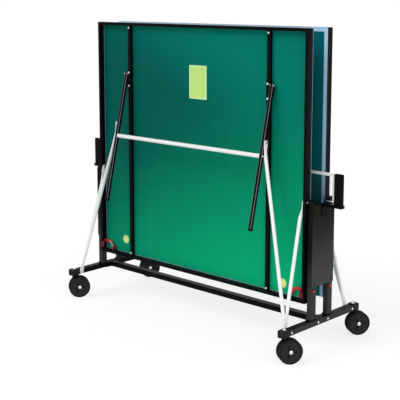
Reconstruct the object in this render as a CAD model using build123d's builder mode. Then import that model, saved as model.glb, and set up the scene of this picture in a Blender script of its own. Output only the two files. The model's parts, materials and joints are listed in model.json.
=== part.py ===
from build123d import *

import math
import os

os.makedirs("parts", exist_ok=True)

# Frame: X runs along the net, Y across the folded halves, Z up from the floor.
# The rear half (+Y) is modelled and the front half is its mirror image.
# All sizes are in millimetres, with the table folded for storage.

# Playing halves
half_width = 1525.0
half_length = 1370.0
board_thickness = 12.0
board_corner = 4.0
surface_spacing = 116.0
net_edge_height = 250.0
play_height = 760.0
open_gap = 3.0
apron_width = 16.0
apron_depth = 30.0
apron_wall = 1.5
weld_gap = 0.2

# Battens that stiffen the underside
batten_x = 510.0
batten_size = 20.0
tube_wall = 1.5
tube_corner = 2.0

# Folding legs, measured along the leg from its pivot
leg_pivot_distance = 1080.0
leg_pivot_depth = 27.0
leg_size = 18.0
leg_length = 735.0
leg_head = 8.0
leg_spacer = 2.5
leg_tilt = 13.0
leg_bar_distance = 358.0
leg_bar_diameter = 22.0
leg_link_distance = 287.0
glide_height = 12.0
glide_plug = 25.0
bracket_thickness = 3.0
bracket_above = 30.0
bracket_below = 90.0
bracket_bolt_spacing = 76.0

# Struts from the feet to the legs and to the halves
link_diameter = 18.0
link_flat = 4.0
link_eye = 22.0
link_top_flat = 32.0
link_taper = 50.0
link_gap = 0.5
side_link_distance = 515.0
side_link_spacer = 2.0
side_link_foot_flat = 60.0
leg_link_spacer = 4.5
leg_link_foot_flat = 24.0

# Guide posts and their rollers
post_y = 68.0
post_depth = 40.0
post_width = 30.0
post_wall = 2.0
post_corner = 4.0
post_rise = 12.0
post_cap_height = 5.0
post_foot_thickness = 5.0
post_foot_length = 56.0
side_clearance = 7.5
guide_plate_thickness = 3.0
guide_plate_width = 36.0
guide_plate_length = 92.0
guide_pin_diameter = 10.0
guide_pin_end = 4.0
roller_length = 20.0
roller_clearance = 1.0
slot_clearance = 1.5

# Covers over the posts
cover_thickness = 3.0
cover_width = 178.0
cover_bottom = 338.0
cover_drop = 4.0
cover_corner = 6.0
cover_bolt_inset = 14.0

# Foot beams and the rail between them
beam_width = 40.0
beam_height = 30.0
beam_length = 548.0
beam_axis_height = 152.0
beam_corner = 3.0
beam_wall = 2.0
rail_depth = 40.0
rail_flange_length = 116.0
rail_flange_thickness = 4.0
rail_bolt_spacing = 82.0
cap_length = 42.0
cap_plug = 18.0
cap_overhang = 2.0
cap_height = 38.0
cap_corner = 5.0
fit_gap = 0.2

# Twin-wheel casters
stem_distance = 16.0
stem_diameter = 11.0
stem_height = 26.0
wheel_diameter = 125.0
wheel_width = 20.0
wheel_gap = 12.0
wheel_clearance = 1.0
tyre_thickness = 8.0
tyre_rounding = 5.0
axle_diameter = 10.0
caster_trail = 28.0
caster_heading = 57.0
caster_collar_diameter = 26.0
caster_collar_height = 9.0
caster_boss = 16.0
wheel_rim_width = 9.0
wheel_rim_depth = 2.0
wheel_grooves = 3
groove_width = 7.0
groove_length = 24.0
groove_radius = 24.0
groove_depth = 3.0
turn_gap = 0.3

# Net, its posts and the arms that carry them
net_overhang = 152.5
net_height = 152.5
net_lift = 1.5
net_thickness = 1.5
net_border = 6.0
net_cord = 2.0
net_columns = 50
net_rows = 6
tape_height = 15.0
tape_thickness = 5.0
net_post_width = 50.0
net_post_thickness = 12.0
net_post_rise = 3.0
net_post_corner = 6.0
arm_depth = 30.0
arm_height = 15.0
arm_plate_thickness = 3.0
arm_plate_width = 44.0
arm_plate_height = 66.0
arm_lug_length = 9.0
arm_lug_height = 18.0
tension_rod_diameter = 8.0
tension_rod_offset = 5.5

# Red release levers in the corners of the halves
latch_width = 14.0
latch_thickness = 6.0
latch_depth = 24.0
latch_reach = 50.0
latch_arm_across = 35.0
latch_arm_down = 38.0
latch_bend = 10.0
latch_gap = 0.3
latch_collar_diameter = 16.0
latch_collar_length = 10.0
bush_diameter = 16.0
bush_thickness = 4.0

# Bolts
bolt_head_diameter = 12.0
bolt_head_height = 3.5
bolt_rounding = 2.0
pivot_diameter = 8.0
pivot_head_diameter = 14.0
pivot_head_height = 3.5
pivot_clearance = 0.3
washer_diameter = 16.0

# Places that follow from the sizes above
half_edge_x = half_width / 2
surface_y = surface_spacing / 2
under_y = surface_y + board_thickness
frame_y = under_y + apron_depth
half_middle_z = net_edge_height + half_length / 2
half_top_z = net_edge_height + half_length
apron_inner_x = half_edge_x - apron_width
pin_from_edge = post_y - open_gap / 2
pin_from_surface = post_y - surface_y
pin_low_z = net_edge_height + pin_from_edge
pin_high_z = play_height - pin_from_surface
lift_travel = pin_high_z - pin_low_z
post_top = play_height + post_rise
cover_top = play_height - cover_drop
post_inner_x = half_edge_x + side_clearance
post_outer_x = post_inner_x + post_width
post_middle_x = post_inner_x + post_width / 2
beam_middle_x = post_inner_x + beam_width / 2
beam_outer_x = post_inner_x + beam_width
cap_inner_x = post_inner_x - cap_overhang
beam_top_z = beam_axis_height + beam_height / 2
beam_end_y = beam_length / 2
cover_outer_x = post_outer_x + cover_thickness
batten_outer_x = batten_x + batten_size / 2
cheek_x = batten_outer_x + bracket_thickness
leg_inner_x = cheek_x + leg_spacer
leg_x = leg_inner_x + leg_size / 2
leg_outer_x = leg_inner_x + leg_size
leg_direction = Vector(0, math.sin(math.radians(leg_tilt)), -math.cos(math.radians(leg_tilt)))
leg_pivot = Vector(leg_x, surface_y + leg_pivot_depth, net_edge_height + leg_pivot_distance)


def save(name, part):
    """Label one piece and write it."""
    part.label = name
    export_step(part, f"parts/{name}.step")


def save_halves(name, part):
    """Write a piece of the rear half and its mirror image for the front half."""
    save(f"rear_{name}", part)
    save(f"front_{name}", mirror(part, about=Plane.XZ))


def facing_y(y):
    """A sketch plane across the folded halves; extrude by a negative amount to go to +Y."""
    return Plane.XZ.offset(-y)


def along_x(x, y, z):
    """A sketch plane square to X with its own x along Y and its own y along Z."""
    return Plane(origin=(x, y, z), x_dir=(0, 1, 0), z_dir=(1, 0, 0))


def bolt_head(x, y, z, diameter, height):
    """A domed head that stands on a face square to X."""
    with BuildPart() as head:
        with BuildSketch(along_x(x, y, z)):
            Circle(diameter / 2)
        extrude(amount=height)
        fillet(head.edges().sort_by(Axis.X)[-1], bolt_rounding)
    return head.part


def head_on_frame(x, y, z):
    """A domed head that stands on a face square to Y, on the underside of a half."""
    with BuildPart() as head:
        with BuildSketch(facing_y(y)):
            with Locations((x, z)):
                Circle(bolt_head_diameter / 2)
        extrude(amount=-bolt_head_height)
        fillet(head.edges().sort_by(Axis.Y)[-1], bolt_rounding)
    return head.part


def pivot_bolt(x, y, z, way, spacer, grip):
    """A shouldered pivot bolt along X: washer, shank through the strut, domed head."""
    shank = spacer + grip
    with BuildPart() as bolt:
        with BuildSketch(along_x(x, y, z)):
            Circle(washer_diameter / 2)
        extrude(amount=way * (spacer - link_gap))
        with BuildSketch(along_x(x, y, z)):
            Circle(pivot_diameter / 2)
        extrude(amount=way * (shank + link_gap))
        with BuildSketch(along_x(x + way * (shank + link_gap), y, z)):
            Circle(pivot_head_diameter / 2)
        extrude(amount=way * pivot_head_height)
    return bolt.part


# Board: one flat panel, green on both faces
with BuildPart() as board:
    with BuildSketch(facing_y(surface_y)):
        with Locations((0, half_middle_z)):
            RectangleRounded(half_width, half_length, board_corner)
    extrude(amount=-board_thickness)
save_halves("board", board.part)

# Apron: four mitred steel tubes under the edges of the board
with BuildPart() as apron:
    for turn in range(4):
        rail_length, rail_offset = (half_width, half_length) if turn % 2 == 0 else (half_length, half_width)
        angle = math.radians(90 * turn)
        rail_plane = Plane(
            origin=(0, under_y, half_middle_z),
            x_dir=(math.cos(angle), 0, math.sin(angle)),
            z_dir=(0, -1, 0),
        )
        outer = rail_length / 2 - weld_gap
        edge = -rail_offset / 2
        with BuildSketch(rail_plane):
            with BuildLine():
                Polyline(
                    (-outer, edge),
                    (outer, edge),
                    (outer - apron_width, edge + apron_width),
                    (-outer + apron_width, edge + apron_width),
                    close=True,
                )
            make_face()
        extrude(amount=-apron_depth)
        wall_in = apron_width - apron_wall
        with BuildSketch(rail_plane.offset(-apron_wall)):
            with BuildLine():
                Polyline(
                    (-outer + apron_wall, edge + apron_wall),
                    (outer - apron_wall, edge + apron_wall),
                    (outer - wall_in, edge + wall_in),
                    (-outer + wall_in, edge + wall_in),
                    close=True,
                )
            make_face()
        extrude(amount=-(apron_depth - 2 * apron_wall), mode=Mode.SUBTRACT)
save_halves("apron", apron.part)

# Battens: two square tubes from the net edge to the far edge of the apron
batten_bottom_z = net_edge_height + apron_width + weld_gap
batten_length = half_length - 2 * (apron_width + weld_gap)
batten_face_y = under_y + batten_size
with BuildPart() as battens:
    with BuildSketch(Plane.XY.offset(batten_bottom_z)):
        with Locations((batten_x, under_y + batten_size / 2)):
            RectangleRounded(batten_size, batten_size, tube_corner)
            Rectangle(batten_size - 2 * tube_wall, batten_size - 2 * tube_wall, mode=Mode.SUBTRACT)
    extrude(amount=batten_length)
    mirror(about=Plane.YZ)
save_halves("battens", battens.part)

# Leg brackets: an angle bolted to the batten, with a cheek beside the leg
bracket_bottom_z = leg_pivot.Z - bracket_below
bracket_height = bracket_above + bracket_below
with BuildPart() as leg_brackets:
    with BuildSketch(Plane.XY.offset(bracket_bottom_z)):
        with BuildLine():
            Polyline(
                (batten_outer_x - batten_size, batten_face_y),
                (batten_outer_x, batten_face_y),
                (batten_outer_x, under_y + bracket_thickness),
                (cheek_x, under_y + bracket_thickness),
                (cheek_x, batten_face_y + bracket_thickness),
                (batten_outer_x - batten_size, batten_face_y + bracket_thickness),
                close=True,
            )
        make_face()
    extrude(amount=bracket_height)
    mirror(about=Plane.YZ)
save_halves("leg_brackets", leg_brackets.part)

# Guide plates: steel plates on the sides of the apron that hold the guide pins
guide_plate_y = frame_y - guide_plate_width / 2
guide_plate_z = net_edge_height + guide_plate_length / 2
with BuildPart() as guide_plates:
    with BuildSketch(along_x(half_edge_x, guide_plate_y, guide_plate_z)):
        Rectangle(guide_plate_width, guide_plate_length)
        with Locations((post_y - guide_plate_y, pin_low_z - guide_plate_z)):
            Circle(guide_pin_diameter)
            Circle(guide_pin_diameter / 2 + fit_gap, mode=Mode.SUBTRACT)
    extrude(amount=guide_plate_thickness)
    mirror(about=Plane.YZ)
save_halves("guide_plates", guide_plates.part)

# Guide pins: the axles on which a half tilts and rises in its posts
pin_inner_x = half_edge_x + fit_gap
pin_outer_x = post_outer_x - guide_pin_end
with BuildPart() as guide_pins:
    with BuildSketch(along_x(pin_inner_x, post_y, pin_low_z)):
        Circle(guide_pin_diameter / 2)
    extrude(amount=pin_outer_x - pin_inner_x)
    mirror(about=Plane.YZ)
save_halves("guide_pins", guide_pins.part)

# Guide rollers: nylon rollers on the pins, inside the posts
roller_diameter = post_depth - 2 * post_wall - 2 * roller_clearance
roller_x = post_middle_x - roller_length / 2
with BuildPart() as guide_rollers:
    with BuildSketch(along_x(roller_x, post_y, pin_low_z)):
        Circle(roller_diameter / 2)
        Circle(guide_pin_diameter / 2 + fit_gap, mode=Mode.SUBTRACT)
    extrude(amount=roller_length)
    mirror(about=Plane.YZ)
save_halves("guide_rollers", guide_rollers.part)

# Legs: square tubes that fold against the half, each turning on a pivot bolt
leg_plane = Plane(origin=leg_pivot, x_dir=(1, 0, 0), z_dir=leg_direction)
leg_tube_length = leg_length - glide_height
with BuildPart() as legs:
    with BuildSketch(leg_plane.offset(-leg_head)):
        RectangleRounded(leg_size, leg_size, tube_corner)
        Rectangle(leg_size - 2 * tube_wall, leg_size - 2 * tube_wall, mode=Mode.SUBTRACT)
    extrude(amount=leg_head + leg_tube_length)
    with BuildSketch(along_x(leg_inner_x, leg_pivot.Y, leg_pivot.Z)):
        Circle(pivot_diameter / 2 + pivot_clearance)
    extrude(amount=leg_size, mode=Mode.SUBTRACT)
    mirror(about=Plane.YZ)
save_halves("legs", legs.part)

# Leg bar: the white round tube that joins the two legs
leg_bar_at = leg_pivot + leg_direction * leg_bar_distance
leg_bar_half = leg_inner_x - weld_gap
with BuildPart() as leg_bar:
    with BuildSketch(along_x(-leg_bar_half, leg_bar_at.Y, leg_bar_at.Z)):
        Circle(leg_bar_diameter / 2)
        Circle(leg_bar_diameter / 2 - tube_wall, mode=Mode.SUBTRACT)
    extrude(amount=2 * leg_bar_half)
save_halves("leg_bar", leg_bar.part)

# Leg glides: plastic plugs in the lower ends of the legs
plug_size = leg_size - 2 * tube_wall - 2 * fit_gap
with BuildPart() as leg_glides:
    with BuildSketch(leg_plane.offset(leg_tube_length)):
        RectangleRounded(leg_size, leg_size, tube_corner)
    extrude(amount=glide_height)
    with BuildSketch(leg_plane.offset(leg_tube_length)):
        Rectangle(plug_size, plug_size)
    extrude(amount=-glide_plug)
    mirror(about=Plane.YZ)
save_halves("leg_glides", leg_glides.part)

# Places of the strut pivots: the foot pivot lies as far from the half's pivot folded as open
leg_link_at = leg_pivot + leg_direction * leg_link_distance
side_pivot_depth = board_thickness + apron_depth / 2
side_pivot_y = surface_y + side_pivot_depth
side_pivot_z = net_edge_height + side_link_distance
open_pivot_y = open_gap / 2 + side_link_distance
open_pivot_z = play_height - side_pivot_depth
squares = open_pivot_y**2 + open_pivot_z**2 - side_pivot_y**2 - side_pivot_z**2
rise = 2 * beam_axis_height * (open_pivot_z - side_pivot_z)
foot_pivot_y = (squares - rise) / (2 * (open_pivot_y - side_pivot_y))
side_flat_x = apron_inner_x - side_link_spacer - link_flat / 2
leg_flat_x = leg_outer_x + leg_link_spacer + link_flat / 2
side_foot_x = cap_inner_x - link_gap - link_flat / 2
leg_foot_x = side_foot_x - link_flat - link_gap
flush_shift = (link_diameter - link_flat) / 2
clear_shift = (link_diameter + link_flat) / 2


def strut(top_eye, foot_eye, foot_flat, top_shift, foot_shift):
    """A round tube pinched flat at both ends, with a pivot eye in each flat."""
    flat_run = Vector(0, foot_eye.Y - top_eye.Y, foot_eye.Z - top_eye.Z).normalized()
    tube_start = top_eye + flat_run * (link_top_flat + link_taper) + Vector(top_shift, 0, 0)
    tube_end = foot_eye - flat_run * (foot_flat + link_taper) - Vector(foot_shift, 0, 0)
    tube_run = (tube_end - tube_start).normalized()
    tube_across = (Vector(1, 0, 0) - tube_run * tube_run.X).normalized()
    ends = (
        (top_eye, flat_run, link_top_flat, tube_start, tube_run),
        (foot_eye, -flat_run, foot_flat, tube_end, -tube_run),
    )
    with BuildPart() as link:
        with BuildSketch(Plane(origin=tube_start, x_dir=tube_across, z_dir=tube_run)):
            Circle(link_diameter / 2)
            Circle(link_diameter / 2 - tube_wall, mode=Mode.SUBTRACT)
        extrude(amount=(tube_end - tube_start).length)
        for eye, run, flat_length, tube_at, tube_way in ends:
            with BuildSketch(Plane(origin=eye, x_dir=run, z_dir=(1, 0, 0))):
                Circle(link_eye / 2)
                with Locations((flat_length / 2, 0)):
                    Rectangle(flat_length, link_eye)
                Circle(pivot_diameter / 2 + pivot_clearance, mode=Mode.SUBTRACT)
            extrude(amount=link_flat / 2, both=True)
            with BuildSketch(Plane(origin=eye + run * flat_length, x_dir=(1, 0, 0), z_dir=run)):
                Ellipse(link_flat / 2, link_eye / 2)
            with BuildSketch(Plane(origin=tube_at, x_dir=tube_across, z_dir=tube_way)):
                Circle(link_diameter / 2)
            loft()
    return link.part


# Side struts: from the foot beams to the inside of the side aprons
side_top_eye = Vector(side_flat_x, side_pivot_y, side_pivot_z)
side_foot_eye = Vector(side_foot_x, foot_pivot_y, beam_axis_height)
with BuildPart() as side_links:
    add(strut(side_top_eye, side_foot_eye, side_link_foot_flat, -flush_shift, flush_shift))
    mirror(about=Plane.YZ)
save_halves("side_links", side_links.part)

# Leg struts: from the foot beams to the outer sides of the legs
leg_top_eye = Vector(leg_flat_x, leg_link_at.Y, leg_link_at.Z)
leg_foot_eye = Vector(leg_foot_x, foot_pivot_y, beam_axis_height)
with BuildPart() as leg_links:
    add(strut(leg_top_eye, leg_foot_eye, leg_link_foot_flat, flush_shift, clear_shift))
    mirror(about=Plane.YZ)
save_halves("leg_links", leg_links.part)

# Bolts of the legs: the pivot of each leg strut, and the end of the leg bar
with BuildPart() as leg_bolts:
    add(pivot_bolt(leg_outer_x, leg_link_at.Y, leg_link_at.Z, 1, leg_link_spacer, link_flat))
    add(bolt_head(leg_outer_x, leg_bar_at.Y, leg_bar_at.Z, bolt_head_diameter, bolt_head_height))
    mirror(about=Plane.YZ)
save_halves("leg_bolts", leg_bolts.part)

# Bolts of the half: leg pivots, side strut pivots, bracket bolts and batten bolts
bracket_face_y = batten_face_y + bracket_thickness
bracket_bolt_z = leg_pivot.Z - (bracket_below - bracket_above) / 2
batten_bolt_inset = apron_width + bolt_head_diameter
with BuildPart() as top_bolts:
    add(pivot_bolt(cheek_x, leg_pivot.Y, leg_pivot.Z, 1, leg_spacer, leg_size))
    add(pivot_bolt(apron_inner_x, side_pivot_y, side_pivot_z, -1, side_link_spacer, link_flat))
    add(bolt_head(half_edge_x, side_pivot_y, side_pivot_z, bolt_head_diameter, bolt_head_height))
    for end in (-1, 1):
        add(head_on_frame(batten_x, bracket_face_y, bracket_bolt_z + end * bracket_bolt_spacing / 2))
    for bolt_z in (net_edge_height + batten_bolt_inset, half_top_z - batten_bolt_inset):
        add(head_on_frame(batten_x, batten_face_y, bolt_z))
    mirror(about=Plane.YZ)
save_halves("top_bolts", top_bolts.part)

# Release levers: bent red bars in the lower corners, each turning on a collar beside the side apron
latch_y = surface_y + latch_depth
latch_outer_x = apron_inner_x - latch_gap
latch_bend_x = latch_outer_x - latch_reach
with BuildPart() as latch:
    with BuildSketch(facing_y(latch_y - latch_thickness / 2)):
        with BuildLine():
            FilletPolyline(
                (latch_outer_x, pin_low_z),
                (latch_bend_x, pin_low_z),
                (latch_bend_x - latch_arm_across, pin_low_z - latch_arm_down),
                radius=latch_bend,
            )
        trace(line_width=latch_width)
    extrude(amount=-latch_thickness)
    with BuildSketch(along_x(latch_outer_x, latch_y, pin_low_z)):
        Circle(latch_collar_diameter / 2)
    extrude(amount=-latch_collar_length)
save_halves("right_latch", latch.part)
save_halves("left_latch", mirror(latch.part, about=Plane.YZ))

# Guide posts: square tubes with a slot in the inner wall for the guide pins
post_bottom_z = beam_top_z + post_foot_thickness
with BuildPart() as rear_post:
    with BuildSketch(Plane.XY.offset(post_bottom_z)):
        with Locations((post_middle_x, post_y)):
            RectangleRounded(post_width, post_depth, post_corner)
            Rectangle(post_width - 2 * post_wall, post_depth - 2 * post_wall, mode=Mode.SUBTRACT)
    extrude(amount=post_top - post_bottom_z)
    with BuildSketch(along_x(post_inner_x, post_y, pin_low_z + lift_travel / 2)):
        SlotCenterToCenter(lift_travel, guide_pin_diameter + 2 * slot_clearance, rotation=90)
    extrude(amount=post_wall, mode=Mode.SUBTRACT)
with BuildPart() as right_posts:
    add(rear_post.part)
    mirror(about=Plane.XZ)
save("right_posts", right_posts.part)
save("left_posts", mirror(right_posts.part, about=Plane.YZ))

# Post feet: plates between the posts and the foot beams
with BuildPart() as post_feet:
    with BuildSketch(Plane.XY.offset(beam_top_z)):
        with Locations((post_middle_x, post_y)):
            RectangleRounded(post_width, post_foot_length, post_corner)
    extrude(amount=post_foot_thickness)
    mirror(about=Plane.XZ)
    mirror(about=Plane.YZ)
save("post_feet", post_feet.part)

# Post caps: plastic plugs in the tops of the posts
with BuildPart() as post_caps:
    with BuildSketch(Plane.XY.offset(post_top)):
        with Locations((post_middle_x, post_y)):
            RectangleRounded(post_width, post_depth, post_corner)
    extrude(amount=post_cap_height)
    chamfer(post_caps.edges().group_by(Axis.Z)[-1], bolt_rounding)
    mirror(about=Plane.XZ)
    mirror(about=Plane.YZ)
save("post_caps", post_caps.part)

# Post covers: sheet plates across the outer faces of each pair of posts
cover_middle_z = (cover_top + cover_bottom) / 2
with BuildPart() as post_covers:
    with BuildSketch(along_x(post_outer_x, 0, cover_middle_z)):
        RectangleRounded(cover_width, cover_top - cover_bottom, cover_corner)
    extrude(amount=cover_thickness)
    mirror(about=Plane.YZ)
save("post_covers", post_covers.part)

# Foot beams: square tubes across the two ends of the chassis
with BuildPart() as foot_beams:
    with BuildSketch(facing_y(-beam_end_y)):
        with Locations((beam_middle_x, beam_axis_height)):
            RectangleRounded(beam_width, beam_height, beam_corner)
            Rectangle(beam_width - 2 * beam_wall, beam_height - 2 * beam_wall, mode=Mode.SUBTRACT)
    extrude(amount=-beam_length)
    mirror(about=Plane.YZ)
save("foot_beams", foot_beams.part)

# Cross rail: a tube along X between the foot beams, with a flange welded across each end
flange_inner_x = post_inner_x - rail_flange_thickness
rail_half = flange_inner_x - weld_gap
with BuildPart() as cross_rail:
    with BuildSketch(along_x(-rail_half, 0, beam_axis_height)):
        RectangleRounded(rail_depth, beam_height, beam_corner)
        Rectangle(rail_depth - 2 * beam_wall, beam_height - 2 * beam_wall, mode=Mode.SUBTRACT)
    extrude(amount=2 * rail_half)
    for flange_x in (-post_inner_x, flange_inner_x):
        with BuildSketch(along_x(flange_x, 0, beam_axis_height)):
            Rectangle(rail_flange_length, beam_height)
        extrude(amount=rail_flange_thickness)
save("cross_rail", cross_rail.part)

# Foot end caps: plastic blocks plugged into the beams, each with a socket for a caster stem
cap_width = beam_width + 2 * cap_overhang
cap_bottom_z = beam_axis_height - cap_height / 2
cap_plug_width = beam_width - 2 * (beam_wall + fit_gap)
cap_plug_height = beam_height - 2 * (beam_wall + fit_gap)
stem_y = beam_end_y + stem_distance
with BuildPart() as foot_end_caps:
    with BuildSketch(facing_y(beam_end_y)):
        with Locations((beam_middle_x, beam_axis_height)):
            RectangleRounded(cap_width, cap_height, cap_corner)
    extrude(amount=-cap_length)
    fillet(foot_end_caps.edges().group_by(Axis.Y)[-1], cap_overhang)
    with BuildSketch(facing_y(beam_end_y)):
        with Locations((beam_middle_x, beam_axis_height)):
            Rectangle(cap_plug_width, cap_plug_height)
    extrude(amount=cap_plug)
    with BuildSketch(Plane.XY.offset(cap_bottom_z)):
        with Locations((beam_middle_x, stem_y)):
            Circle(stem_diameter / 2 + turn_gap)
    extrude(amount=stem_height + turn_gap, mode=Mode.SUBTRACT)
    mirror(about=Plane.XZ)
    mirror(about=Plane.YZ)
save("foot_end_caps", foot_end_caps.part)

# Lock bushes: red bushes on the outer faces of the posts
with BuildPart() as lock_bushes:
    add(bolt_head(post_outer_x, post_y, pin_low_z, bush_diameter, bush_thickness))
    mirror(about=Plane.XZ)
    mirror(about=Plane.YZ)
save("lock_bushes", lock_bushes.part)

# Net arms: brackets on the post covers that reach out to the net posts
arm_end_x = half_edge_x + net_overhang
arm_top_z = play_height - net_post_rise
arm_plate_x = cover_outer_x + arm_plate_thickness
net_post_x = arm_end_x - net_post_width / 2
net_end_x = arm_end_x - net_post_width
with BuildPart() as net_arms:
    with BuildSketch(Plane.XY.offset(arm_top_z - arm_height)):
        with Locations(((cover_outer_x + arm_end_x) / 2, 0)):
            Rectangle(arm_end_x - cover_outer_x, arm_depth)
    extrude(amount=arm_height)
    with BuildSketch(along_x(cover_outer_x, 0, arm_top_z - arm_plate_height / 2)):
        Rectangle(arm_plate_width, arm_plate_height)
    extrude(amount=arm_plate_thickness)
    with BuildSketch(Plane.XY.offset(arm_top_z)):
        with Locations((arm_plate_x + arm_lug_length / 2, -tension_rod_offset)):
            Rectangle(arm_lug_length, tension_rod_diameter)
    extrude(amount=arm_lug_height)
    mirror(about=Plane.YZ)
save("net_arms", net_arms.part)

# Net posts: flat black uprights that stand on the ends of the arms
net_top_z = play_height + net_height
net_post_height = net_top_z - arm_top_z
with BuildPart() as net_posts:
    with BuildSketch(facing_y(-net_post_thickness / 2)):
        with Locations((net_post_x, arm_top_z + net_post_height / 2)):
            Rectangle(net_post_width, net_post_height)
    extrude(amount=-net_post_thickness)
    top_corners = net_posts.edges().filter_by(Axis.Y).group_by(Axis.Z)[-1]
    fillet(top_corners, net_post_corner)
    mirror(about=Plane.YZ)
save("net_posts", net_posts.part)

# Tension rods: bright rods beside the ends of the net, from the arm's lug to the net post
rod_start_x = arm_plate_x + arm_lug_length + fit_gap
rod_z = arm_top_z + arm_lug_height - tension_rod_diameter / 2 - fit_gap
with BuildPart() as tension_rods:
    with BuildSketch(along_x(rod_start_x, -tension_rod_offset, rod_z)):
        Circle(tension_rod_diameter / 2)
    extrude(amount=net_end_x - fit_gap - rod_start_x)
    mirror(about=Plane.YZ)
save("tension_rods", tension_rods.part)

# Net: a flat mesh between the net posts, below the tape
net_bottom_z = play_height + net_lift
tape_bottom_z = net_top_z - tape_height
mesh_width = 2 * (net_end_x - fit_gap)
mesh_height = tape_bottom_z - net_bottom_z
column_pitch = (mesh_width - 2 * net_border + net_cord) / net_columns
row_pitch = (mesh_height - 2 * net_border + net_cord) / net_rows
with BuildPart() as net:
    with BuildSketch(facing_y(-net_thickness / 2)):
        with Locations((0, net_bottom_z + mesh_height / 2)):
            Rectangle(mesh_width, mesh_height)
            with GridLocations(column_pitch, row_pitch, net_columns, net_rows):
                Rectangle(column_pitch - net_cord, row_pitch - net_cord, mode=Mode.SUBTRACT)
    extrude(amount=-net_thickness)
save("net", net.part)

# Net tape: the white band folded over the top of the net
with BuildPart() as net_tape:
    with BuildSketch(facing_y(-tape_thickness / 2)):
        with Locations((0, tape_bottom_z + tape_height / 2)):
            Rectangle(mesh_width, tape_height)
    extrude(amount=-tape_thickness)
    fillet(net_tape.edges().filter_by(Axis.X).group_by(Axis.Z)[-1], net_thickness)
save("net_tape", net_tape.part)

# Bolts of the chassis: strut pivots with their washers, rail bolts, and bolts through the covers
cover_bolt_z = (cover_bottom + cover_bolt_inset, cover_top - cover_bolt_inset)
beam_bolt_y = (foot_pivot_y, rail_bolt_spacing / 2)
with BuildPart() as chassis_bolts:
    for bolt_y in beam_bolt_y:
        add(bolt_head(beam_outer_x, bolt_y, beam_axis_height, bolt_head_diameter, bolt_head_height))
    for bolt_z in cover_bolt_z:
        add(bolt_head(cover_outer_x, post_y, bolt_z, bolt_head_diameter, bolt_head_height))
    with BuildSketch(along_x(cap_inner_x, foot_pivot_y, beam_axis_height)):
        Circle(washer_diameter / 2)
    extrude(amount=cap_overhang)
    mirror(about=Plane.XZ)
    mirror(about=Plane.YZ)
save("chassis_bolts", chassis_bolts.part)

# Casters: an arm that swivels in its socket, and two wheels on one axle
heading = math.radians(caster_heading)
trail_way = Vector(math.cos(heading), math.sin(heading), 0)
axle_way = Vector(math.sin(heading), -math.cos(heading), 0)
wheel_radius = wheel_diameter / 2
disc_radius = wheel_radius - tyre_thickness
collar_top_z = cap_bottom_z - turn_gap
collar_bottom_z = collar_top_z - caster_collar_height
arm_thickness = wheel_gap - 2 * wheel_clearance
corners = {
    "front_left": (-1, -1),
    "front_right": (1, -1),
    "rear_left": (-1, 1),
    "rear_right": (1, 1),
}
for corner, (side_x, side_y) in corners.items():
    stem_at = Vector(side_x * beam_middle_x, side_y * stem_y, 0)
    axle_at = stem_at + trail_way * caster_trail + Vector(0, 0, wheel_radius)
    middle_plane = Plane(origin=stem_at, x_dir=trail_way, z_dir=axle_way)
    axle_plane = Plane(origin=axle_at, x_dir=trail_way, z_dir=axle_way)

    with BuildPart() as caster_arm:
        with BuildSketch(middle_plane):
            with Locations((caster_trail, wheel_radius)):
                Circle(caster_boss)
            with Locations((0, collar_bottom_z - caster_collar_height / 2)):
                Rectangle(caster_collar_diameter, caster_collar_height)
            make_hull()
        extrude(amount=arm_thickness / 2, both=True)
        with BuildSketch(Plane.XY.offset(collar_bottom_z)):
            with Locations((stem_at.X, stem_at.Y)):
                Circle(caster_collar_diameter / 2)
        extrude(amount=caster_collar_height)
        with BuildSketch(Plane.XY.offset(collar_top_z)):
            with Locations((stem_at.X, stem_at.Y)):
                Circle(stem_diameter / 2)
        extrude(amount=stem_height)
        with BuildSketch(axle_plane):
            Circle(axle_diameter / 2 + turn_gap)
        extrude(amount=arm_thickness, both=True, mode=Mode.SUBTRACT)
    save(f"{corner}_caster_arm", caster_arm.part)

    with BuildPart() as wheel:
        for face in (-1, 1):
            with BuildSketch(axle_plane.offset(face * wheel_gap / 2)):
                Circle(disc_radius - fit_gap)
                Circle(axle_diameter / 2 + fit_gap, mode=Mode.SUBTRACT)
            extrude(amount=face * wheel_width)
            face_plane = axle_plane.offset(face * (wheel_gap / 2 + wheel_width))
            with BuildSketch(face_plane):
                Circle(disc_radius - fit_gap)
                Circle(disc_radius - fit_gap - wheel_rim_width, mode=Mode.SUBTRACT)
            extrude(amount=-face * wheel_rim_depth, mode=Mode.SUBTRACT)
            with BuildSketch(face_plane):
                with PolarLocations(groove_radius, wheel_grooves):
                    SlotOverall(groove_length, groove_width)
            extrude(amount=-face * groove_depth, mode=Mode.SUBTRACT)
        with BuildSketch(axle_plane):
            Circle(axle_diameter / 2)
        extrude(amount=wheel_gap / 2 + wheel_width, both=True)
    save(f"{corner}_wheel", wheel.part)

    with BuildPart() as tyres:
        for face in (-1, 1):
            with BuildSketch(axle_plane.offset(face * wheel_gap / 2)):
                Circle(wheel_radius)
            extrude(amount=face * wheel_width)
        rims = tyres.edges().filter_by(GeomType.CIRCLE)
        fillet(rims, tyre_rounding)
        with BuildSketch(axle_plane):
            Circle(disc_radius)
        extrude(amount=wheel_diameter, both=True, mode=Mode.SUBTRACT)
    save(f"{corner}_tyres", tyres.part)
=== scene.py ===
import json
import math

import bmesh
import bpy
from mathutils import Matrix, Vector


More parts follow.
